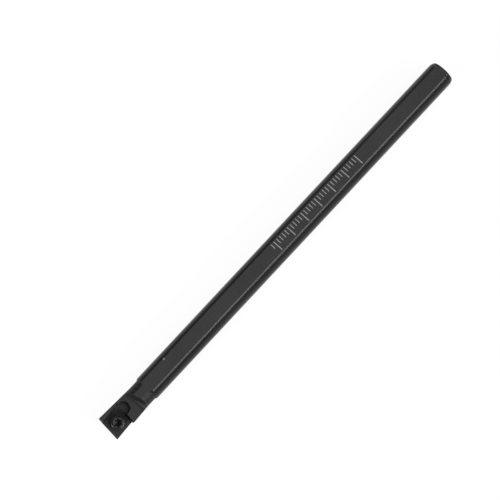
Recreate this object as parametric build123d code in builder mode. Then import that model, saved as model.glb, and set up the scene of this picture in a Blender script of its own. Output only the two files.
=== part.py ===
from build123d import *

import os
from math import cos, radians, sin, tan

# Boring bar for turning inside a bore: a round steel bar with two flats, and a screw that clamps
# an 80 degree rhombic cutting insert in a pocket at its head. The pocket is empty here.
#
# Frame, in millimetres: the origin is the centre of the rear end face, on the bar's axis.
# +X runs forward to the head, +Y points to the cutting side, +Z stands out of the upper flat.

# Shank
shank_diameter = 7.0
across_flats = 6.0           # between the upper and the lower flat
rear_lead = 1.45              # length of the rounded lead-in at the rear end
rear_drop = 0.43             # how much the lead-in takes off the radius at the end face

# Neck and flared head
head_length = 14.8           # the shoulder to the insert's sharp corner
neck_diameter = 6.35
shoulder_length = 0.5        # the cone from shank to neck
neck_length = 2.5            # the neck's plain part
head_flare = 2.6             # degrees that the head widens to the front, on each side

# Cutting insert that the pocket is made for
functional_length = 125.0    # rear end to the insert's sharp corner
tip_offset = 4.15            # the insert's sharp corner from the bar's axis
approach_angle = 95.0        # front cutting edge to the axis
insert_corner = 80.0
insert_circle = 6.35         # inscribed circle
insert_thickness = 2.38
insert_clearance = 7.0       # degrees that the insert's flanks lean back
radial_rake = 12.0           # degrees that the pocket leans over to the cutting side

# Front face of the head
front_setback = 0.55         # behind the insert's sharp corner
front_angle = 4.0            # degrees off square
front_relief = 8.0           # degrees that it leans back below the pocket's floor

# Gullet, where chips leave over the head
wall_drop = 0.18             # top of the pocket's walls below the insert's top
gullet_length = 10.72        # insert's corner to the root of the end wall, on the screw's line
gullet_skew = 12.4           # degrees that the end wall is turned
gullet_wall_angle = 74.0     # end wall to the gullet's floor
gullet_root_radius = 0.9

# Round relief at the pocket's inner corner
relief_radius = 1.65
relief_overrun = 0.35        # its centre beyond the corner, along the side wall

# Clamp screw, with a cone under its head and a six-lobe socket
thread_diameter = 2.5
thread_clearance = 0.05      # radial, between the screw and its tapped hole
tapped_hole_mouth = 0.15     # width of the countersink
screw_pull = 0.05            # the tapped hole is this much nearer to the pocket's corner
screw_head_diameter = 3.5
screw_head_sink = 0.3        # the head's top below the insert's top
screw_head_rim = 0.3         # height of the cylindrical edge
screw_head_rounding = 0.15
screw_cone_angle = 60.0
point_chamfer = 0.25
point_recess = 0.05          # the screw's point above the lower flat
lobe_count = 6
socket_turn = 22.0           # degrees that the socket's first flute is turned from the front
socket_outer_diameter = 2.4
socket_inner_diameter = 1.75
socket_flute_radius = 0.6
socket_lobe_rounding = 0.1
socket_depth = 0.9
socket_point_angle = 120.0   # the drilled cone at the socket's bottom

# Sizes that follow from those above
shank_radius = shank_diameter / 2
shank_length = functional_length - head_length
neck_radius = neck_diameter / 2
flare_start = shank_length + shoulder_length + neck_length
blank_length = functional_length + shank_radius
head_radius = neck_radius + (blank_length - flare_start) * tan(radians(head_flare))
cut_reach = 2 * (blank_length - shank_length)    # more than the head in every direction

# The insert's top face. Its sharp corner is the origin, local X runs to the front, and local Z
# leans over to the cutting side by the radial rake.
rake_plane = Plane(
    origin=(functional_length, tip_offset, 0),
    x_dir=(1, 0, 0),
    z_dir=(0, sin(radians(radial_rake)), cos(radians(radial_rake))),
)
floor_plane = rake_plane.offset(-insert_thickness)
gullet_plane = rake_plane.offset(-wall_drop)

# The insert's two cutting edges run back from its corner. Their bisector leads to its centre and
# on to the far corner, which the pocket holds.
edge_lead = approach_angle - 90
bisector_angle = radians(-90 - edge_lead - insert_corner / 2)
bisector = Vector(cos(bisector_angle), sin(bisector_angle))
half_corner_sine = sin(radians(insert_corner / 2))
wall_inset = insert_thickness * tan(radians(insert_clearance))
pocket_corner = bisector * ((insert_circle - wall_inset) / half_corner_sine)
screw_centre = bisector * (insert_circle / 2 / half_corner_sine + screw_pull)

# The side wall runs to the front, and the back wall across to the cutting side.
side_wall_angle = edge_lead
back_wall_angle = edge_lead + insert_corner
along_side_wall = Vector(1, 0).rotate(Axis.Z, side_wall_angle)
off_side_wall = Vector(0, 1).rotate(Axis.Z, side_wall_angle)
relief_centre = pocket_corner - along_side_wall * relief_overrun + off_side_wall * relief_radius

# The screw's own plane: its origin is where the screw's axis meets the pocket's floor.
screw_plane = Plane(floor_plane.location * Location(screw_centre))
screw_axis = Axis(screw_plane.origin, screw_plane.z_dir)


with BuildPart() as bar:
    # Turned blank, from the rounded rear end to the flared head
    with BuildSketch(Plane.XY) as blank_profile:
        with BuildLine():
            lead = TangentArc(
                (rear_lead, shank_radius), (0, shank_radius - rear_drop), tangent=(-1, 0)
            )
            Polyline(
                lead @ 1,
                (0, 0),
                (blank_length, 0),
                (blank_length, head_radius),
                (flare_start, neck_radius),
                (shank_length + shoulder_length, neck_radius),
                (shank_length, shank_radius),
                lead @ 0,
            )
        make_face()
    revolve(axis=Axis.X)

    # Upper and lower flat
    with BuildSketch(Plane.YZ) as flats_section:
        Rectangle(3 * shank_diameter, across_flats)
    extrude(amount=blank_length, mode=Mode.INTERSECT)

    # Front face, square to the pocket's floor above it and leaning back below it
    with BuildSketch(floor_plane) as front_waste:
        with Locations((-front_setback, 0)):
            Rectangle(
                cut_reach, 2 * cut_reach, rotation=-front_angle, align=(Align.MIN, Align.CENTER)
            )
    extrude(amount=cut_reach, mode=Mode.SUBTRACT)
    extrude(front_waste.sketch, amount=-cut_reach, taper=-front_relief, mode=Mode.SUBTRACT)

    # Gullet: a floor level with the pocket's walls, and a skewed end wall that rises to the flat
    gullet_section = Plane(
        gullet_plane.location
        * Location((-gullet_length, screw_centre.Y, 0), (0, 0, gullet_skew))
        * Location((0, 0, 0), (90, 0, 0))
    )
    gullet_rise = shank_diameter
    with BuildSketch(gullet_section) as gullet_profile:
        with BuildLine():
            cut = FilletPolyline(
                (cut_reach, 0),
                (0, 0),
                (-gullet_rise / tan(radians(gullet_wall_angle)), gullet_rise),
                radius=gullet_root_radius,
            )
            Polyline(cut @ 1, (cut_reach, gullet_rise), cut @ 0)
        make_face()
    extrude(amount=cut_reach, both=True, mode=Mode.SUBTRACT)

    # Insert pocket, with walls that lean back as the insert's flanks do
    with BuildSketch(floor_plane) as pocket_outline:
        with BuildLine():
            side_wall = PolarLine(pocket_corner, cut_reach, side_wall_angle)
            back_wall = PolarLine(pocket_corner, cut_reach, back_wall_angle)
            Polyline(side_wall @ 1, (side_wall @ 1) + (back_wall @ 1) - pocket_corner, back_wall @ 1)
        make_face()
    extrude(amount=insert_thickness, taper=-insert_clearance, mode=Mode.SUBTRACT)

    # Round relief, so that the insert's far corner touches nothing
    with BuildSketch(floor_plane) as relief_outline:
        with Locations(relief_centre):
            Circle(relief_radius)
    extrude(amount=insert_thickness, mode=Mode.SUBTRACT)

    # Tapped hole for the clamp screw, right through the floor
    with Locations(screw_plane.location):
        CounterSinkHole(
            radius=thread_diameter / 2 + thread_clearance,
            counter_sink_radius=thread_diameter / 2 + thread_clearance + tapped_hole_mouth,
            depth=cut_reach,
            counter_sink_angle=90,
        )

bar.part.label = "bar"


# The screw stands as high as it does when it clamps an insert, and its lowest edge stays above
# the lower flat.
screw_head_top = insert_thickness - screw_head_sink
screw_head_radius = screw_head_diameter / 2
thread_radius = thread_diameter / 2
point_radius = thread_radius - point_chamfer
cone_height = (screw_head_radius - thread_radius) / tan(radians(screw_cone_angle / 2))
floor_height = screw_plane.origin.Z + across_flats / 2
point_depth = (
    (floor_height - point_recess) / cos(radians(radial_rake))
    - point_radius * tan(radians(radial_rake))
)
screw_section = Plane(screw_plane.location * Location((0, 0, 0), (90, 0, 0)))
socket_plane = screw_plane.offset(screw_head_top)

with BuildPart() as clamp_screw:
    # Turned form: the point, the thread's outside, the clamping cone and the head's rim
    with BuildSketch(screw_section) as screw_profile:
        with BuildLine():
            Polyline(
                (0, -point_depth),
                (point_radius, -point_depth),
                (thread_radius, -point_depth + point_chamfer),
                (thread_radius, screw_head_top - screw_head_rim - cone_height),
                (screw_head_radius, screw_head_top - screw_head_rim),
                (screw_head_radius, screw_head_top),
                (0, screw_head_top),
                close=True,
            )
        make_face()
        fillet(
            screw_profile.vertices().group_by(Axis.Y)[-1].sort_by(Axis.X)[-1],
            radius=screw_head_rounding,
        )
    revolve(axis=screw_axis)

    # Six-lobe socket with a drilled point
    with BuildSketch(socket_plane) as socket_outline:
        Circle(socket_outer_diameter / 2)
        with PolarLocations(
            socket_inner_diameter / 2 + socket_flute_radius, lobe_count, start_angle=socket_turn
        ):
            Circle(socket_flute_radius, mode=Mode.SUBTRACT)
        fillet(socket_outline.vertices(), radius=socket_lobe_rounding)
    extrude(amount=-socket_depth, mode=Mode.SUBTRACT)
    with Locations(socket_plane.offset(-socket_depth).location):
        point_height = socket_inner_diameter / 2 / tan(radians(socket_point_angle / 2))
        Cone(
            0,
            socket_inner_diameter / 2,
            point_height,
            align=(Align.CENTER, Align.CENTER, Align.MAX),
            mode=Mode.SUBTRACT,
        )

clamp_screw.part.label = "clamp_screw"


os.makedirs("parts", exist_ok=True)
export_step(bar.part, "parts/bar.step")
export_step(clamp_screw.part, "parts/clamp_screw.step")
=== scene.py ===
import math

import bmesh
import bpy
from mathutils import Matrix, Vector


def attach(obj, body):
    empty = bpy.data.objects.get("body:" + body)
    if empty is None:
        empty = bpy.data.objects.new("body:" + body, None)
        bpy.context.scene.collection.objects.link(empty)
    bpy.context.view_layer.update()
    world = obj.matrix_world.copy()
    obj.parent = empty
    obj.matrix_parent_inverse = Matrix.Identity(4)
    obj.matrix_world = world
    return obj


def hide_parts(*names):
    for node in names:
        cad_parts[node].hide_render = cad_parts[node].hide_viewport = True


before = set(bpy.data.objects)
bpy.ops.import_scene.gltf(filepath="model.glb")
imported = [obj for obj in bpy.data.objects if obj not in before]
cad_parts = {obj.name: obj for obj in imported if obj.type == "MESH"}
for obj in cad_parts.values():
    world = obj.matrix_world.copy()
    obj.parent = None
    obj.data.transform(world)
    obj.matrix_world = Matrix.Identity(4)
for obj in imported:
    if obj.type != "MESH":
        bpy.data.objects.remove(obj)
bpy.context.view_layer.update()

# Boring bar: a round steel bar with two flats and an empty insert pocket, and its clamp screw.
# Everything is in metres: the origin is the centre of the rear end face, +X runs to the head,
# +Y points to the cutting side and +Z stands out of the upper flat.

MM = 0.001

# Bar
ACROSS_FLATS = 6.0 * MM
SHOULDER_START = 110.2 * MM      # the marks of the cutter begin here
NECK_START = 110.7 * MM          # and have come in fully here
FLARE_START = 113.2 * MM
NECK_RADIUS = 3.175 * MM
HEAD_FLARE = 2.6                 # degrees that the head widens, on each side
EDGE_BREAK = 0.07 * MM           # how far the ground edges are broken

# Pocket: its floor leans over to the cutting side
RADIAL_RAKE = math.radians(12.0)
POCKET_UP = Vector((0, math.sin(RADIAL_RAKE), math.cos(RADIAL_RAKE)))
POCKET_SIDE = Vector((0, math.cos(RADIAL_RAKE), -math.sin(RADIAL_RAKE)))

# Gullet: a point on the root of its end wall, the wall's skew and slope, and the root's radius,
# which grows toward the cutting side
GULLET_ROOT = (114.28 * MM, 0.66162 * MM, 0.55746 * MM)
GULLET_SKEW = math.radians(12.4)
GULLET_WALL_ANGLE = math.radians(74.0)
ROOT_RADIUS_START = 0.84 * MM
ROOT_RADIUS_GROWTH = 3.0 * MM
ROOT_GROWTH_POWER = 1.8
ROOT_START = -1.6 * MM           # along the root, from its named point
ROOT_END = 4.0 * MM
ROOT_SINK = 0.4 * MM             # how deep the added steel is let into the bar
ROOT_LIFT = 0.004 * MM           # how far its round stands off a true one
ROOT_SECTIONS = 28
ROOT_FACETS = 20
TURNED_LIFT = 0.003 * MM         # how far the added steel stands out of the turned head
TURNED_FACETS = 256
TURNED_START = 110.9 * MM
TURNED_END = 120.0 * MM

# Edges of the bar's mesh
POINT_TICK = 1e-4 * MM           # points nearer than this are the same point
LINE_REACH = 2 * POINT_TICK      # how near to a real edge its pieces lie
LINE_OVERRUN = 0.001             # as a share of the real edge's length
REAL_EDGE_ANGLE = math.radians(5.0)     # between faces that meet in an edge, not in a curve
FOLD_ANGLE = math.radians(25.0)         # from here on, an edge that isn't broken stays sharp
FLAT_ANGLE = math.radians(0.05)         # below this, two faces are one flat face
RECUT_START = 110.0 * MM         # in front of this, the widened root may have cut the real edges

# Clamp screw, an M2.5 with a cone under its head. Heights are above the pocket's floor.
SCREW_FOOT = (121.472 * MM, 0.204212 * MM, -1.59447 * MM)
SCREW_FACETS = 144
THREAD_DIAMETER = 2.5 * MM
THREAD_PITCH = 0.45 * MM
THREAD_DEPTH = 0.25 * MM
THREAD_STEPS = 90
THREAD_CREST = 0.0625            # half of the flat crest, as a share of the pitch
THREAD_ROOT = 0.375              # where the flank ends, from the crest's middle
RUN_OUT_LENGTH = 0.45 * MM
RUN_OUT_MARGIN = 0.15 * MM       # plain length between the run-out and the cone
POINT_DEPTH = 1.172 * MM         # below the pocket's floor
POINT_CHAMFER = 0.25 * MM
EDGE_STEP = 0.01 * MM            # between the two rings that hold an edge crisp
CONE_ANGLE = 60.0
CONE_STEPS = 6
HEAD_DIAMETER = 3.5 * MM
HEAD_TOP = 2.08 * MM
HEAD_RIM = 0.3 * MM
HEAD_SLOPE_INNER = 17.0          # degrees that the head's top falls away beside the socket
HEAD_SLOPE_OUTER = 68.0          # and at its rim
HEAD_SLOPE_POWER = 3
HEAD_STEPS = 12
SOCKET_TURN = math.radians(22.0)        # from the front to the socket's first lobe
SOCKET_OUTER = 2.4 * MM
SOCKET_INNER = 1.75 * MM
SOCKET_LOBES = 6.0
SOCKET_LOBE_RADIUS = 0.6 * MM
SOCKET_BLEND = 0.03 * MM         # rounding between two lobes
SOCKET_EDGE = 0.05 * MM
SOCKET_EDGE_STEPS = 3
SOCKET_WALL = 0.62 * MM          # height of its walls
SOCKET_WALL_STEPS = 6
SOCKET_POINT = 0.5 * MM          # depth of its conical bottom below the walls
SOCKET_POINT_STEPS = 8

# Graduation etched on the upper flat
SCALE_START = 32.0 * MM
SCALE_END = 63.0 * MM
SCALE_FOOT = -1.45 * MM          # where its lines begin, across the flat
SHORT_LINE = 1.5 * MM
LONG_LINE = 2.9 * MM
SHORT_LINE_HALF_WIDTH = 0.1 * MM
LONG_LINE_HALF_WIDTH = 0.12 * MM

# Marks on the milled head, and painted shade on the pocket's floor round the screw, for its shadow
# and the pocket's darkness
CUTTER_CENTRE = (122.0 * MM, 0.3 * MM, 0.0)
RINGS_PER_METRE = 1500.0
PAINTED_SHADE_CENTRE = (120.6 * MM, -0.4 * MM, -1.466 * MM)
PAINTED_SHADE_INNER = 1.7 * MM           # darkest as far as this
PAINTED_SHADE_OUTER = 3.1 * MM           # and faint beyond this
PAINTED_SHADE_FAINT = 0.12
PAINTED_SHADE_RAGGEDNESS = 0.5 * MM
SURFACE_TOLERANCE = 0.01 * MM    # how far below a flat still counts as the flat

# Grey levels of the two steels
BAR_GREY = {
    "dark oxide": 0.0075,
    "light oxide": 0.014,
    "cutter ring": 0.04,
    "worn edge": 0.16,
    "speck": 0.12,
    # the painted shade on the pocket's floor round the clamp screw
    "painted_shade": 0.004,
    "etched line": 0.30,
}
SCREW_GREY = {"dark": 0.008, "light": 0.015, "worn edge": 0.09, "speck": 0.2}

# Studio
FLOOR_GAP = 0.02 * MM            # keeps the table's face off the lower flat's
TABLE_HALF = 0.9
TABLE_GREY = 0.95
TABLE_WHITENESS = 0.92           # how far the table is evened out where it is seen


# ---------------------------------------------------------------- small helpers

def add_object(name, data):
    """A new object in the scene, at the origin."""
    item = bpy.data.objects.new(name, data)
    bpy.context.scene.collection.objects.link(item)
    return item


def finished_mesh(item):
    """An object's mesh with its modifiers worked in."""
    return bpy.data.meshes.new_from_object(
        item.evaluated_get(bpy.context.evaluated_depsgraph_get())
    )


def link(tree, source, target):
    """Joins an output socket to an input socket."""
    tree.links.new(source, target)


def feed(tree, socket, value):
    """Gives an input socket a constant, or joins an output to it."""
    if isinstance(value, bpy.types.NodeSocket):
        link(tree, value, socket)
    else:
        socket.default_value = value


def math_node(tree, operation, *values):
    """A Math node whose inputs are numbers or sockets. Gives its output."""
    node = tree.nodes.new("ShaderNodeMath")
    node.operation = operation
    for socket, value in zip(node.inputs, values):
        feed(tree, socket, value)
    return node.outputs[0]


def vector_math(tree, operation, *values):
    """A Vector Math node whose inputs are vectors or sockets. Gives its outputs."""
    node = tree.nodes.new("ShaderNodeVectorMath")
    node.operation = operation
    for socket, value in zip(node.inputs, values):
        feed(tree, socket, value)
    return node.outputs


def split_xyz(tree, vector):
    """The three parts of a vector."""
    node = tree.nodes.new("ShaderNodeSeparateXYZ")
    link(tree, vector, node.inputs[0])
    return node.outputs[0], node.outputs[1], node.outputs[2]


def ramp_between(tree, value, low, high, low_value=0.0, high_value=1.0, smooth=True):
    """value between low and high, mapped to low_value and high_value and held beyond them."""
    node = tree.nodes.new("ShaderNodeMapRange")
    node.interpolation_type = "SMOOTHSTEP" if smooth else "LINEAR"
    feed(tree, node.inputs["Value"], value)
    feed(tree, node.inputs["From Min"], low)
    feed(tree, node.inputs["From Max"], high)
    feed(tree, node.inputs["To Min"], low_value)
    feed(tree, node.inputs["To Max"], high_value)
    return node.outputs["Result"]


def object_place(tree):
    """The place on the object."""
    return tree.nodes.new("ShaderNodeTexCoord").outputs["Object"]


def noise(tree, place, scale, detail, roughness=0.5):
    """Cloudy noise through the whole solid."""
    node = tree.nodes.new("ShaderNodeTexNoise")
    link(tree, place, node.inputs["Vector"])
    feed(tree, node.inputs["Scale"], scale)
    node.inputs["Detail"].default_value = detail
    node.inputs["Roughness"].default_value = roughness
    return node.outputs["Fac"]


def spread(tree, cloud, low_value, high_value, smooth=False):
    """Noise, which mostly lies between 0.3 and 0.7, spread over a range of values."""
    return ramp_between(tree, cloud, 0.3, 0.7, low_value, high_value, smooth=smooth)


def grey(level):
    """A neutral colour."""
    return (level, level, level, 1.0)


def mix_colour(tree, share, first, second):
    """Two colours mixed by a share from 0 to 1."""
    node = tree.nodes.new("ShaderNodeMix")
    node.data_type = "RGBA"
    inputs = {socket.identifier: socket for socket in node.inputs}
    feed(tree, inputs["Factor_Float"], share)
    feed(tree, inputs["A_Color"], first)
    feed(tree, inputs["B_Color"], second)
    return next(socket for socket in node.outputs if socket.identifier == "Result_Color")


def add_relief(tree, shader, height, strength, distance):
    """Fine relief in a material's surface."""
    bump = tree.nodes.new("ShaderNodeBump")
    bump.inputs["Strength"].default_value = strength
    bump.inputs["Distance"].default_value = distance
    link(tree, height, bump.inputs["Height"])
    link(tree, bump.outputs["Normal"], shader.inputs["Normal"])


# ---------------------------------------------------------------- effects that both steels share

def new_effect(name, inputs, outputs):
    """A shader node group with number inputs at their usual values, and number outputs."""
    group = bpy.data.node_groups.new(name, "ShaderNodeTree")
    for label, value in inputs.items():
        socket = group.interface.new_socket(label, in_out="INPUT", socket_type="NodeSocketFloat")
        socket.default_value = value
    for label in outputs:
        group.interface.new_socket(label, in_out="OUTPUT", socket_type="NodeSocketFloat")
    entry = group.nodes.new("NodeGroupInput")
    leave = group.nodes.new("NodeGroupOutput")
    return group, entry.outputs, leave.inputs


def make_worn_edges():
    """Bare metal where an outer edge has been rubbed, broken up so that it comes and goes."""
    group, given, result = new_effect(
        "Worn edges",
        {"Reach": 0.1 * MM, "Onset": 0.02, "Full": 0.15, "Break-up": 900.0},
        ["Wear"],
    )
    rounded = group.nodes.new("ShaderNodeBevel")
    rounded.samples = 8
    link(group, given["Reach"], rounded.inputs["Radius"])
    surface = group.nodes.new("ShaderNodeNewGeometry")
    agreement = vector_math(
        group, "DOT_PRODUCT", rounded.outputs["Normal"], surface.outputs["Normal"]
    )["Value"]
    departure = math_node(group, "SUBTRACT", 1.0, agreement)
    edge = ramp_between(group, departure, given["Onset"], given["Full"])

    patches = noise(group, object_place(group), given["Break-up"], detail=3.0)
    strength = spread(group, patches, 0.45, 1.0, smooth=True)
    link(group, math_node(group, "MULTIPLY", edge, strength), result["Wear"])
    return group


def make_oxide_mottling():
    """The black oxide's cloudy shade, its fine grain as a height, and a few bright specks."""
    group, given, result = new_effect(
        "Oxide mottling",
        {"Cloud scale": 90.0, "Grain scale": 3000.0, "Speck scale": 700.0},
        ["Shade", "Grain", "Specks"],
    )
    place = object_place(group)
    clouds = noise(group, place, given["Cloud scale"], detail=4.0, roughness=0.6)
    grain = noise(group, place, given["Grain scale"], detail=2.0)
    cloud_share = spread(group, clouds, 0.0, 0.75)
    grain_share = spread(group, grain, 0.0, 0.25)
    link(group, math_node(group, "ADD", cloud_share, grain_share), result["Shade"])
    link(group, grain, result["Grain"])

    # One cell in about twenty holds a speck
    cells = group.nodes.new("ShaderNodeTexVoronoi")
    cells.inputs["Randomness"].default_value = 1.0
    link(group, place, cells.inputs["Vector"])
    link(group, given["Speck scale"], cells.inputs["Scale"])
    near = ramp_between(group, cells.outputs["Distance"], 0.06, 0.16, 1.0, 0.0)
    pick = group.nodes.new("ShaderNodeSeparateColor")
    link(group, cells.outputs["Color"], pick.inputs["Color"])
    chosen = ramp_between(group, pick.outputs["Red"], 0.93, 0.97)
    link(group, math_node(group, "MULTIPLY", near, chosen), result["Specks"])
    return group


def place_effect(tree, group, **values):
    """A shared effect placed in a material. Names have underscores for spaces. Gives its outputs."""
    node = tree.nodes.new("ShaderNodeGroup")
    node.node_tree = group
    for name, value in values.items():
        node.inputs[name.replace("_", " ")].default_value = value
    return node.outputs


# ---------------------------------------------------------------- materials

def new_steel(name):
    """A new material, its node tree and its Principled BSDF."""
    material = bpy.data.materials.new(name)
    material.use_nodes = True
    tree = material.node_tree
    return material, tree, tree.nodes["Principled BSDF"]


def turning_marks(tree, place):
    """Fine marks that run round the bar: noise squeezed along its axis."""
    mapping = tree.nodes.new("ShaderNodeMapping")
    mapping.inputs["Scale"].default_value = (12.0, 1.0, 1.0)
    link(tree, place, mapping.inputs["Vector"])
    return noise(tree, mapping.outputs["Vector"], 400.0, detail=3.0)


def etched_scale(tree, place):
    """A mask of the plain graduation on the upper flat: a line each millimetre, longer each five."""
    along, across, height = split_xyz(tree, place)
    after_start = math_node(tree, "GREATER_THAN", along, SCALE_START - 0.5 * MM)
    before_end = math_node(tree, "LESS_THAN", along, SCALE_END + 0.5 * MM)
    on_flat = math_node(tree, "GREATER_THAN", height, ACROSS_FLATS / 2 - SURFACE_TOLERANCE)
    in_length = math_node(tree, "MULTIPLY", after_start, before_end)
    field = math_node(tree, "MULTIPLY", in_length, on_flat)
    from_start = math_node(tree, "SUBTRACT", along, SCALE_START)

    def lines(spacing, half_width, length):
        nearest = math_node(tree, "PINGPONG", from_start, spacing / 2)
        drawn = ramp_between(tree, nearest, half_width * 0.7, half_width * 1.3, 1.0, 0.0)
        past_foot = math_node(tree, "GREATER_THAN", across, SCALE_FOOT)
        before_tip = math_node(tree, "LESS_THAN", across, SCALE_FOOT + length)
        return math_node(tree, "MULTIPLY", drawn, math_node(tree, "MULTIPLY", past_foot, before_tip))

    each_millimetre = lines(1.0 * MM, SHORT_LINE_HALF_WIDTH, SHORT_LINE)
    each_five = lines(5.0 * MM, LONG_LINE_HALF_WIDTH, LONG_LINE)
    return math_node(tree, "MULTIPLY", math_node(tree, "MAXIMUM", each_millimetre, each_five), field)


def painted_shade_round_screw(tree, place, grain):
    """Painted shade on the pocket's floor, for the clamp screw's shadow and the pocket's darkness:
    strongest round the screw, faint farther off.
    """
    offset = vector_math(tree, "SUBTRACT", place, PAINTED_SHADE_CENTRE)["Vector"]
    sideways = vector_math(tree, "CROSS_PRODUCT", offset, POCKET_UP)["Vector"]
    distance = vector_math(tree, "LENGTH", sideways)["Value"]
    above = vector_math(tree, "DOT_PRODUCT", offset, POCKET_UP)["Value"]

    uneven = math_node(tree, "MULTIPLY", math_node(tree, "SUBTRACT", grain, 0.5), PAINTED_SHADE_RAGGEDNESS)
    ragged = math_node(tree, "ADD", distance, uneven)
    shade_strength = ramp_between(tree, ragged, PAINTED_SHADE_INNER, PAINTED_SHADE_OUTER, 1.0, PAINTED_SHADE_FAINT)
    low_down = ramp_between(tree, above, 0.3 * MM, 1.5 * MM, 1.0, 0.0)
    from_floor = ramp_between(tree, above, -0.2 * MM, -0.05 * MM)
    return math_node(tree, "MULTIPLY", shade_strength, math_node(tree, "MULTIPLY", low_down, from_floor))


def cutter_rings(tree, place):
    """Uneven rings round the milling cutter's centre, as a height from 0 to 1."""
    offset = vector_math(tree, "SUBTRACT", place, CUTTER_CENTRE)["Vector"]
    x, y, _ = split_xyz(tree, offset)
    squares = math_node(
        tree, "ADD", math_node(tree, "MULTIPLY", x, x), math_node(tree, "MULTIPLY", y, y)
    )
    radius = math_node(tree, "SQRT", squares)
    rings = tree.nodes.new("ShaderNodeTexNoise")
    rings.noise_dimensions = "1D"
    rings.inputs["Scale"].default_value = 1.0
    rings.inputs["Detail"].default_value = 3.0
    link(tree, math_node(tree, "MULTIPLY", radius, RINGS_PER_METRE), rings.inputs["W"])
    return rings.outputs["Fac"]


def milled_faces(tree, place):
    """A mask of the machined faces of the neck and the head, without the two flats."""
    along, _, height = split_xyz(tree, place)
    in_front = ramp_between(tree, along, SHOULDER_START, NECK_START)
    from_middle = math_node(tree, "ABSOLUTE", height)
    between_flats = math_node(tree, "LESS_THAN", from_middle, ACROSS_FLATS / 2 - SURFACE_TOLERANCE)
    return math_node(tree, "MULTIPLY", in_front, between_flats)


def make_bar_steel(worn_edges, mottling):
    """Black-oxided steel, turned round its body, ground on its flats and milled at its head."""
    material, tree, shader = new_steel("Black oxided steel")
    place = object_place(tree)
    wear = place_effect(tree, worn_edges, Reach=0.12 * MM, Onset=0.03, Full=0.25)["Wear"]
    cloud = place_effect(tree, mottling, Cloud_scale=70.0, Grain_scale=2600.0, Speck_scale=420.0)
    marks = turning_marks(tree, place)
    rings = cutter_rings(tree, place)
    milled = milled_faces(tree, place)
    # Painted shade for the clamp screw's shadow and the pocket's darkness on its floor
    painted_shade = painted_shade_round_screw(tree, place, cloud["Grain"])
    scale = etched_scale(tree, place)

    # Colour, from the oxide up to the etched lines
    tone = {name: grey(level) for name, level in BAR_GREY.items()}
    ring_share = math_node(tree, "MULTIPLY", milled, ramp_between(tree, rings, 0.35, 0.65, 0.0, 0.2))
    scale_share = math_node(tree, "MULTIPLY", scale, 0.85)
    colour = mix_colour(tree, cloud["Shade"], tone["dark oxide"], tone["light oxide"])
    colour = mix_colour(tree, ring_share, colour, tone["cutter ring"])
    colour = mix_colour(tree, wear, colour, tone["worn edge"])
    colour = mix_colour(tree, cloud["Specks"], colour, tone["speck"])
    # Painted shade darkens the pocket's floor round the clamp screw
    colour = mix_colour(tree, painted_shade, colour, tone["painted_shade"])
    colour = mix_colour(tree, scale_share, colour, tone["etched line"])
    link(tree, colour, shader.inputs["Base Color"])

    # Reflection: barer where it is worn, less metallic and duller under the painted shade round the
    # screw
    bare = ramp_between(tree, wear, 0.0, 1.0, 0.3, 1.0, smooth=False)
    outside_shade = math_node(tree, "SUBTRACT", 1.0, painted_shade)
    link(tree, math_node(tree, "MULTIPLY", bare, outside_shade), shader.inputs["Metallic"])
    shader.inputs["Specular IOR Level"].default_value = 0.26
    turned_gloss = spread(tree, marks, 0.20, 0.26)
    milled_gloss = math_node(tree, "ADD", turned_gloss, math_node(tree, "MULTIPLY", milled, 0.24))
    gloss = math_node(tree, "ADD", milled_gloss, math_node(tree, "MULTIPLY", painted_shade, 0.25))
    etched_gloss = math_node(tree, "MULTIPLY", scale, 0.6)
    link(tree, math_node(tree, "MAXIMUM", gloss, etched_gloss), shader.inputs["Roughness"])

    # Relief: turning marks and grain everywhere, and the cutter's rings where it is milled
    turned_height = math_node(tree, "MULTIPLY", marks, 0.6)
    grain_height = math_node(tree, "MULTIPLY", cloud["Grain"], 0.4)
    milled_height = math_node(tree, "MULTIPLY", milled, rings)
    texture = math_node(tree, "ADD", turned_height, grain_height)
    height = math_node(tree, "ADD", texture, milled_height)
    add_relief(tree, shader, height, 0.12, 0.01 * MM)
    return material


def make_screw_steel(worn_edges, mottling):
    """Darker oiled steel of the screw, with bright rubbed edges at its head and socket."""
    material, tree, shader = new_steel("Oiled dark steel")
    wear = place_effect(tree, worn_edges, Reach=0.08 * MM, Onset=0.02, Full=0.2)["Wear"]
    cloud = place_effect(tree, mottling, Cloud_scale=500.0, Grain_scale=5000.0, Speck_scale=1500.0)

    tone = {name: grey(level) for name, level in SCREW_GREY.items()}
    colour = mix_colour(tree, cloud["Shade"], tone["dark"], tone["light"])
    colour = mix_colour(tree, wear, colour, tone["worn edge"])
    colour = mix_colour(tree, cloud["Specks"], colour, tone["speck"])
    link(tree, colour, shader.inputs["Base Color"])

    bare = ramp_between(tree, wear, 0.0, 1.0, 0.4, 1.0, smooth=False)
    link(tree, bare, shader.inputs["Metallic"])
    shader.inputs["Specular IOR Level"].default_value = 0.36
    link(tree, spread(tree, cloud["Grain"], 0.24, 0.34), shader.inputs["Roughness"])
    add_relief(tree, shader, cloud["Grain"], 0.1, 0.005 * MM)
    return material


# ---------------------------------------------------------------- the gullet's widened root

def solid_through(rows):
    """A closed mesh through rows of equally many points, capped at both ends."""
    solid = bmesh.new()
    made = [[solid.verts.new(point) for point in row] for row in rows]
    for first, second in zip(made, made[1:]):
        for k in range(len(first)):
            after = (k + 1) % len(first)
            solid.faces.new((first[k], first[after], second[after], second[k]))
    solid.faces.new(made[0])
    solid.faces.new(made[-1])
    bmesh.ops.recalc_face_normals(solid, faces=solid.faces)
    mesh = bpy.data.meshes.new("closed_solid")
    solid.to_mesh(mesh)
    solid.free()
    return mesh


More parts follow.
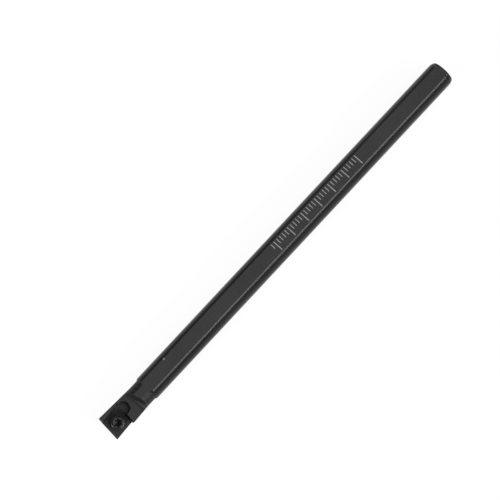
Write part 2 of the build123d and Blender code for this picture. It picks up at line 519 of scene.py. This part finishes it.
def root_section(radius):
    """The added steel across the root, from the floor up its round to the wall and back inside."""
    slope = GULLET_WALL_ANGLE
    reach = radius * math.tan(slope / 2)
    section = []
    for i in range(ROOT_FACETS + 1):
        turn = math.radians(270) - slope * i / ROOT_FACETS
        section.append((
            reach + (radius + ROOT_LIFT) * math.cos(turn),
            radius + (radius + ROOT_LIFT) * math.sin(turn),
        ))
    section.append((-reach * math.cos(slope) - ROOT_SINK, reach * math.sin(slope)))
    section.append((-ROOT_SINK, -ROOT_SINK))
    section.append((reach, -ROOT_SINK))
    return section


def root_filler():
    """Steel that widens the gullet's root, in millimetres: its round grows along the root."""
    front = Vector((1, 0, 0))
    forward = front * math.cos(GULLET_SKEW) + POCKET_SIDE * math.sin(GULLET_SKEW)
    along_root = POCKET_SIDE * math.cos(GULLET_SKEW) - front * math.sin(GULLET_SKEW)
    rows = []
    for j in range(ROOT_SECTIONS + 1):
        share = j / ROOT_SECTIONS
        radius = ROOT_RADIUS_START + ROOT_RADIUS_GROWTH * share ** ROOT_GROWTH_POWER
        start = Vector(GULLET_ROOT) + along_root * (ROOT_START + (ROOT_END - ROOT_START) * share)
        rows.append([(start + forward * a + POCKET_UP * h) / MM for a, h in root_section(radius)])
    return solid_through(rows)


def turned_head():
    """The neck and the flared head as turned, in millimetres and a hair proud of the bar."""
    rows = []
    for x in (TURNED_START, FLARE_START, TURNED_END):
        flare = max(0.0, x - FLARE_START) * math.tan(math.radians(HEAD_FLARE))
        radius = NECK_RADIUS + flare + TURNED_LIFT
        turns = [math.tau * k / TURNED_FACETS for k in range(TURNED_FACETS)]
        rows.append([Vector((x, radius * math.cos(t), radius * math.sin(t))) / MM for t in turns])
    return solid_through(rows)


def combined(first, second, operation):
    """Two closed meshes joined or intersected."""
    base = add_object("base", first)
    tool = add_object("tool", second)
    step = base.modifiers.new("combine", "BOOLEAN")
    step.operation = operation
    step.solver = "EXACT"
    step.object = tool
    result = finished_mesh(base)
    bpy.data.objects.remove(base)
    bpy.data.objects.remove(tool)
    return result


def with_wide_root(bar_mesh):
    """The bar's mesh with the widened root of the gullet. The work is done in millimetres."""
    bar_mesh.transform(Matrix.Scale(1 / MM, 4))
    filler = combined(root_filler(), turned_head(), "INTERSECT")
    joined = combined(bar_mesh, filler, "UNION")
    joined.transform(Matrix.Scale(MM, 4))
    return joined


# ---------------------------------------------------------------- the bar

def round_point(point):
    """A point as whole tenths of a micron, to find the same point again."""
    return tuple(round(c / POINT_TICK) for c in point)


def find_real_edges(mesh):
    """The edges where two surfaces meet at an angle, each as a pair of rounded points."""
    normals = [corner.vector.copy() for corner in mesh.corner_normals]
    sides = {}
    for polygon in mesh.polygons:
        corners = list(polygon.loop_indices)
        for corner, following in zip(corners, corners[1:] + corners[:1]):
            start = round_point(mesh.vertices[mesh.loops[corner].vertex_index].co)
            end = round_point(mesh.vertices[mesh.loops[following].vertex_index].co)
            ends = frozenset((start, end))
            sides.setdefault(ends, []).append({start: normals[corner], end: normals[following]})
    return {
        ends for ends, pair in sides.items()
        if len(ends) == 2 and len(pair) == 2
        and any(pair[0][point].angle(pair[1][point]) > REAL_EDGE_ANGLE for point in ends)
    }


def lies_on(point, start, end):
    """Whether a point is on the straight edge between two others."""
    run = end - start
    share = (point - start).dot(run) / run.length_squared
    inside = -LINE_OVERRUN < share < 1 + LINE_OVERRUN
    return inside and (start + run * share - point).length < LINE_REACH


def edges_to_break(work, real_edges):
    """The edges of the work that are real edges, or pieces of one that the widened root has cut."""
    real_lines = [[Vector(point) * POINT_TICK for point in ends] for ends in real_edges]
    head_lines = [line for line in real_lines if max(point.x for point in line) > RECUT_START]
    found = set()
    for edge in work.edges:
        ends = [vertex.co for vertex in edge.verts]
        if frozenset(round_point(point) for point in ends) in real_edges:
            found.add(edge)
        elif min(point.x for point in ends) > RECUT_START and any(
            all(lies_on(point, *line) for point in ends) for line in head_lines
        ):
            found.add(edge)
    return found


def dress_bar(cad_bar, steel):
    """The bar's own solid as a clean mesh: flat faces whole, curves smooth, edges broken."""
    real_edges = find_real_edges(cad_bar.data)
    work = bmesh.new()
    work.from_mesh(cad_bar.data)
    bmesh.ops.remove_doubles(work, verts=work.verts, dist=POINT_TICK)
    whole = bpy.data.meshes.new("whole_bar")
    work.to_mesh(whole)
    work.clear()
    work.from_mesh(with_wide_root(whole))

    weight = work.edges.layers.float.new("bevel_weight_edge")
    broken = edges_to_break(work, real_edges)
    flat_inside = []
    for edge in work.edges:
        edge[weight] = 1.0 if edge in broken else 0.0
        angle = edge.calc_face_angle() if len(edge.link_faces) == 2 else None
        edge.smooth = edge not in broken and (angle is None or angle < FOLD_ANGLE)
        if edge.smooth and angle is not None and angle < FLAT_ANGLE:
            flat_inside.append(edge)
    bmesh.ops.dissolve_edges(work, edges=flat_inside, use_verts=False)
    for face in work.faces:
        face.smooth = True

    dressed = bpy.data.meshes.new("boring_bar")
    work.to_mesh(dressed)
    work.free()
    dressed.materials.append(steel)
    bar = add_object("boring_bar", dressed)

    rounding = bar.modifiers.new("broken edges", "BEVEL")
    rounding.limit_method = "WEIGHT"
    rounding.width = EDGE_BREAK
    rounding.segments = 2
    rounding.harden_normals = True
    rounding.use_clamp_overlap = False
    return bar


# ---------------------------------------------------------------- the clamp screw

def head_top_rings(head_radius):
    """The rings of the head's top, from its rim in to the socket: it falls away ever more steeply."""
    inner = SOCKET_OUTER / 2 + SOCKET_EDGE
    width = (head_radius - inner) / HEAD_STEPS
    top = [(inner, HEAD_TOP)]
    for i in range(HEAD_STEPS):
        share = ((i + 0.5) / HEAD_STEPS) ** HEAD_SLOPE_POWER
        slope = HEAD_SLOPE_INNER + (HEAD_SLOPE_OUTER - HEAD_SLOPE_INNER) * share
        radius, height = top[-1]
        top.append((radius + width, height - width * math.tan(math.radians(slope))))
    return reversed(top[1:])


def screw_outline():
    """The turned outline: radius, height, and the share of thread and of socket in each ring."""
    outer = THREAD_DIAMETER / 2
    head = HEAD_DIAMETER / 2
    point = outer - POINT_CHAMFER
    cone_height = (head - outer) / math.tan(math.radians(CONE_ANGLE / 2))
    rim_foot = HEAD_TOP - HEAD_RIM
    neck = rim_foot - cone_height
    rings = []

    def ring(radius, height, thread=0.0, socket=0.0):
        rings.append((radius, height, thread, socket))

    # The point, the thread and its run-out under the cone
    ring(0.0, -POINT_DEPTH)
    ring(point - 2 * EDGE_STEP, -POINT_DEPTH)
    ring(point, -POINT_DEPTH + EDGE_STEP)
    start = -POINT_DEPTH + 2 * EDGE_STEP
    for i in range(THREAD_STEPS + 1):
        height = start + (neck - start) * i / THREAD_STEPS
        chamfered = min(outer, point + (height + POINT_DEPTH))
        below_cone = (neck - RUN_OUT_MARGIN - height) / RUN_OUT_LENGTH
        ring(chamfered, height, thread=min(1.0, max(0.0, below_cone)))
    # The clamping cone, the head's rim and its top
    for i in range(1, CONE_STEPS + 1):
        ring(outer + (head - outer) * i / CONE_STEPS, neck + cone_height * i / CONE_STEPS)
    ring(head, rim_foot + 2 * EDGE_STEP)
    for radius, height in head_top_rings(head):
        ring(radius, height)
    # The socket, from its broken edge to its pointed bottom
    wide = SOCKET_OUTER / 2
    for i in range(SOCKET_EDGE_STEPS + 1):
        turn = math.radians(90 * i / SOCKET_EDGE_STEPS)
        edge_radius = wide + SOCKET_EDGE * (1 - math.sin(turn))
        ring(edge_radius, HEAD_TOP - SOCKET_EDGE * (1 - math.cos(turn)), socket=1.0)
    for i in range(1, SOCKET_WALL_STEPS + 1):
        down = (SOCKET_WALL - SOCKET_EDGE) * i / SOCKET_WALL_STEPS
        ring(wide, HEAD_TOP - SOCKET_EDGE - down, socket=1.0)
    for i in range(1, SOCKET_POINT_STEPS + 1):
        share = 1 - i / SOCKET_POINT_STEPS
        ring(wide * share, HEAD_TOP - SOCKET_WALL - SOCKET_POINT * (1 - share), socket=share)
    return rings


def turned_blank():
    """The screw's rings joined into one closed skin, standing on the pocket's floor, along +Z."""
    blank = bmesh.new()
    thread = blank.verts.layers.float.new("thread")
    socket = blank.verts.layers.float.new("socket")
    around = blank.verts.layers.float.new("around")
    rows = []
    for radius, height, thread_share, socket_share in screw_outline():
        row = []
        for k in range(1 if radius == 0.0 else SCREW_FACETS):
            turn = math.tau * k / SCREW_FACETS
            vertex = blank.verts.new((radius * math.cos(turn), radius * math.sin(turn), height))
            vertex[thread] = thread_share
            vertex[socket] = socket_share
            vertex[around] = turn
            row.append(vertex)
        rows.append(row)
    for low, high in zip(rows, rows[1:]):
        for k in range(SCREW_FACETS):
            after = (k + 1) % SCREW_FACETS
            if len(low) == 1:
                blank.faces.new((low[0], high[after], high[k]))
            elif len(high) == 1:
                blank.faces.new((low[k], low[after], high[0]))
            else:
                blank.faces.new((low[k], low[after], high[after], high[k]))
    for face in blank.faces:
        face.smooth = True
    mesh = bpy.data.meshes.new("screw_blank")
    blank.to_mesh(mesh)
    blank.free()
    return mesh


def thread_and_socket_tree():
    """Geometry Nodes that cut the helical thread and the six-lobe socket into the turned blank."""
    tree = bpy.data.node_groups.new("Thread and socket", "GeometryNodeTree")
    face = tree.interface
    face.new_socket("Geometry", in_out="INPUT", socket_type="NodeSocketGeometry")
    for name in ("Pitch", "Thread depth", "Socket outer radius", "Socket lobe centre",
                 "Socket lobe radius", "Socket turn", "Lobes"):
        face.new_socket(name, in_out="INPUT", socket_type="NodeSocketFloat")
    face.new_socket("Steel", in_out="INPUT", socket_type="NodeSocketMaterial")
    face.new_socket("Geometry", in_out="OUTPUT", socket_type="NodeSocketGeometry")
    given = tree.nodes.new("NodeGroupInput").outputs
    leave = tree.nodes.new("NodeGroupOutput")

    def attribute(name):
        node = tree.nodes.new("GeometryNodeInputNamedAttribute")
        node.data_type = "FLOAT"
        node.inputs["Name"].default_value = name
        return node.outputs["Attribute"]

    def calc(operation, *values):
        return math_node(tree, operation, *values)

    around = attribute("around")
    x, y, z = split_xyz(tree, tree.nodes.new("GeometryNodeInputPosition").outputs[0])
    radius = calc("SQRT", calc("ADD", calc("MULTIPLY", x, x), calc("MULTIPLY", y, y)))

    # Thread: a flat-topped 60 degree profile that rises one pitch each turn
    turns = calc("DIVIDE", around, math.tau)
    phase = calc("FRACT", calc("SUBTRACT", calc("DIVIDE", z, given["Pitch"]), turns))
    from_crest = calc("PINGPONG", phase, 0.5)
    flank = ramp_between(tree, from_crest, THREAD_CREST, THREAD_ROOT, smooth=False)
    cut = calc("MULTIPLY", calc("MULTIPLY", flank, given["Thread depth"]), attribute("thread"))
    threaded = calc("SUBTRACT", radius, cut)

    # Socket: the outer circle, bitten by lobes that stand round it
    half_spacing = calc("DIVIDE", calc("DIVIDE", math.tau, given["Lobes"]), 2.0)
    from_lobe = calc("PINGPONG", calc("SUBTRACT", around, given["Socket turn"]), half_spacing)
    centre = given["Socket lobe centre"]
    lobe = given["Socket lobe radius"]
    sideways = calc("MULTIPLY", centre, calc("SINE", from_lobe))
    reach = calc("SUBTRACT", calc("MULTIPLY", lobe, lobe), calc("MULTIPLY", sideways, sideways))
    half_chord = calc("SQRT", calc("MAXIMUM", reach, 0.0))
    near_side = calc("SUBTRACT", calc("MULTIPLY", centre, calc("COSINE", from_lobe)), half_chord)
    lobed = calc("SMOOTH_MIN", near_side, given["Socket outer radius"], SOCKET_BLEND)
    inward = calc("SUBTRACT", given["Socket outer radius"], lobed)
    new_radius = calc("SUBTRACT", threaded, calc("MULTIPLY", inward, attribute("socket")))

    joined = tree.nodes.new("ShaderNodeCombineXYZ")
    link(tree, calc("MULTIPLY", new_radius, calc("COSINE", around)), joined.inputs[0])
    link(tree, calc("MULTIPLY", new_radius, calc("SINE", around)), joined.inputs[1])
    link(tree, z, joined.inputs[2])
    shaped = tree.nodes.new("GeometryNodeSetPosition")
    link(tree, given["Geometry"], shaped.inputs["Geometry"])
    link(tree, joined.outputs[0], shaped.inputs["Position"])
    realized = tree.nodes.new("GeometryNodeRealizeInstances")
    link(tree, shaped.outputs[0], realized.inputs[0])
    finish = tree.nodes.new("GeometryNodeSetMaterial")
    link(tree, realized.outputs[0], finish.inputs["Geometry"])
    link(tree, given["Steel"], finish.inputs["Material"])
    link(tree, finish.outputs[0], leave.inputs["Geometry"])
    return tree


def set_inputs(modifier, **values):
    """Sets a Geometry Nodes modifier's inputs by their sockets' identifiers."""
    for item in modifier.node_group.interface.items_tree:
        key = item.name.replace(" ", "_")
        if item.item_type == "SOCKET" and item.in_out == "INPUT" and key in values:
            modifier[item.identifier] = values[key]


def make_clamp_screw(steel):
    """The screw as one plain mesh in its place over the tapped hole."""
    blank = add_object("screw_blank", turned_blank())
    cutting = blank.modifiers.new("thread and socket", "NODES")
    cutting.node_group = thread_and_socket_tree()
    set_inputs(
        cutting,
        Pitch=THREAD_PITCH,
        Thread_depth=THREAD_DEPTH,
        Socket_outer_radius=SOCKET_OUTER / 2,
        Socket_lobe_centre=SOCKET_INNER / 2 + SOCKET_LOBE_RADIUS,
        Socket_lobe_radius=SOCKET_LOBE_RADIUS,
        Socket_turn=SOCKET_TURN,
        Lobes=SOCKET_LOBES,
        Steel=steel,
    )
    shaped = finished_mesh(blank)
    bpy.data.objects.remove(blank)
    shaped.name = "clamp_screw_finished"
    for name in ("thread", "socket", "around"):
        if name in shaped.attributes:
            shaped.attributes.remove(shaped.attributes[name])

    turn = Matrix(((1, 0, 0), POCKET_SIDE, POCKET_UP)).transposed().to_4x4()
    shaped.transform(Matrix.Translation(SCREW_FOOT) @ turn)
    shaped.update()
    return add_object("finished_clamp_screw", shaped)


# ---------------------------------------------------------------- studio

def make_floor():
    """A plain pale table. Seen directly or in the metal it is near white, with a soft shadow."""
    material = bpy.data.materials.new("Pale table")
    material.use_nodes = True
    tree = material.node_tree
    tree.nodes.clear()
    output = tree.nodes.new("ShaderNodeOutputMaterial")
    matt = tree.nodes.new("ShaderNodeBsdfDiffuse")
    matt.inputs["Color"].default_value = grey(TABLE_GREY)
    even = tree.nodes.new("ShaderNodeEmission")
    even.inputs["Color"].default_value = grey(1.0)
    even.inputs["Strength"].default_value = 1.0
    blend = tree.nodes.new("ShaderNodeMixShader")
    ray = tree.nodes.new("ShaderNodeLightPath").outputs
    mirrored = math_node(tree, "MAXIMUM", ray["Is Glossy Ray"], ray["Is Transmission Ray"])
    seen = math_node(tree, "MAXIMUM", ray["Is Camera Ray"], mirrored)
    link(tree, math_node(tree, "MULTIPLY", seen, TABLE_WHITENESS), blend.inputs[0])
    link(tree, matt.outputs[0], blend.inputs[1])
    link(tree, even.outputs[0], blend.inputs[2])
    link(tree, blend.outputs[0], output.inputs["Surface"])

    level = -ACROSS_FLATS / 2 - FLOOR_GAP
    corners = [(-TABLE_HALF, -TABLE_HALF), (TABLE_HALF, -TABLE_HALF),
               (TABLE_HALF, TABLE_HALF), (-TABLE_HALF, TABLE_HALF)]
    mesh = bpy.data.meshes.new("table_top")
    mesh.from_pydata([(x, y, level) for x, y in corners], [], [(0, 1, 2, 3)])
    mesh.materials.append(material)
    table_top = add_object("table_top", mesh)


def make_world(level):
    """An even, dim grey room."""
    world = bpy.data.worlds.new("Grey room")
    bpy.context.scene.world = world
    world.use_nodes = True
    background = world.node_tree.nodes["Background"]
    background.inputs["Color"].default_value = grey(1.0)
    background.inputs["Strength"].default_value = level


def softbox(name, centre, target, width, height, radiance):
    """A rectangular area light of even radiance, aimed at a point. Its width leans to +X."""
    data = bpy.data.lights.new(name, "AREA")
    data.shape = "RECTANGLE"
    data.size = width
    data.size_y = height
    data.energy = radiance * math.pi * width * height
    lamp = add_object(name, data)
    aim = (Vector(target) - Vector(centre)).normalized()
    front = Vector((1, 0, 0))
    along = (front - aim * front.dot(aim)).normalized()
    across = (-aim).cross(along)
    turn = Matrix((along, across, -aim)).transposed().to_4x4()
    lamp.matrix_world = Matrix.Translation(centre) @ turn


def make_camera():
    """A long lens above the bar, a little before its nose and to its cutting side."""
    data = bpy.data.cameras.new("bench camera")
    data.lens = 288.17
    data.sensor_width = 36.0
    data.clip_start = 0.05
    data.clip_end = 20.0
    camera = add_object("bench camera", data)
    right = Vector((-0.6730758, 0.7395723, 0.0013189))
    up = Vector((-0.7200349, -0.6557002, 0.2271719))
    back = Vector((0.1688748, 0.1519542, 0.9738538))
    turn = Matrix((right, up, back)).transposed().to_4x4()
    camera.matrix_world = Matrix.Translation((0.235848, 0.147081, 0.973763)) @ turn
    bpy.context.scene.camera = camera


# ---------------------------------------------------------------- the whole scene

worn_edges = make_worn_edges()
mottling = make_oxide_mottling()
bar_steel = make_bar_steel(worn_edges, mottling)
screw_steel = make_screw_steel(worn_edges, mottling)

bar = dress_bar(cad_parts["bar"], bar_steel)
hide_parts("bar")
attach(bar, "bar")

screw = make_clamp_screw(screw_steel)
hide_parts("clamp_screw")
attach(screw, "screw")

make_floor()
make_world(0.15)
shank = (60 * MM, 0, 0)
middle = (62 * MM, 0, 0)
head = (115 * MM, 0, 0)
softbox("overhead softbox", (-0.03, 0.27, 0.87), shank, 0.58, 1.10, 2.5)
softbox("key softbox", (-0.32, 0.70, 0.40), shank, 1.06, 0.14, 16.0)
softbox("nose softbox", (1.04, -0.21, 0.31), head, 0.26, 0.52, 22.0)
softbox("rear fill softbox", (-0.50, -0.75, 0.32), middle, 0.8, 0.45, 0.9)
softbox("side fill softbox", (0.10, -0.80, 0.62), middle, 0.9, 0.40, 0.3)
make_camera()

bpy.context.scene.view_settings.view_transform = "Standard"

bpy.context.view_layer.update()
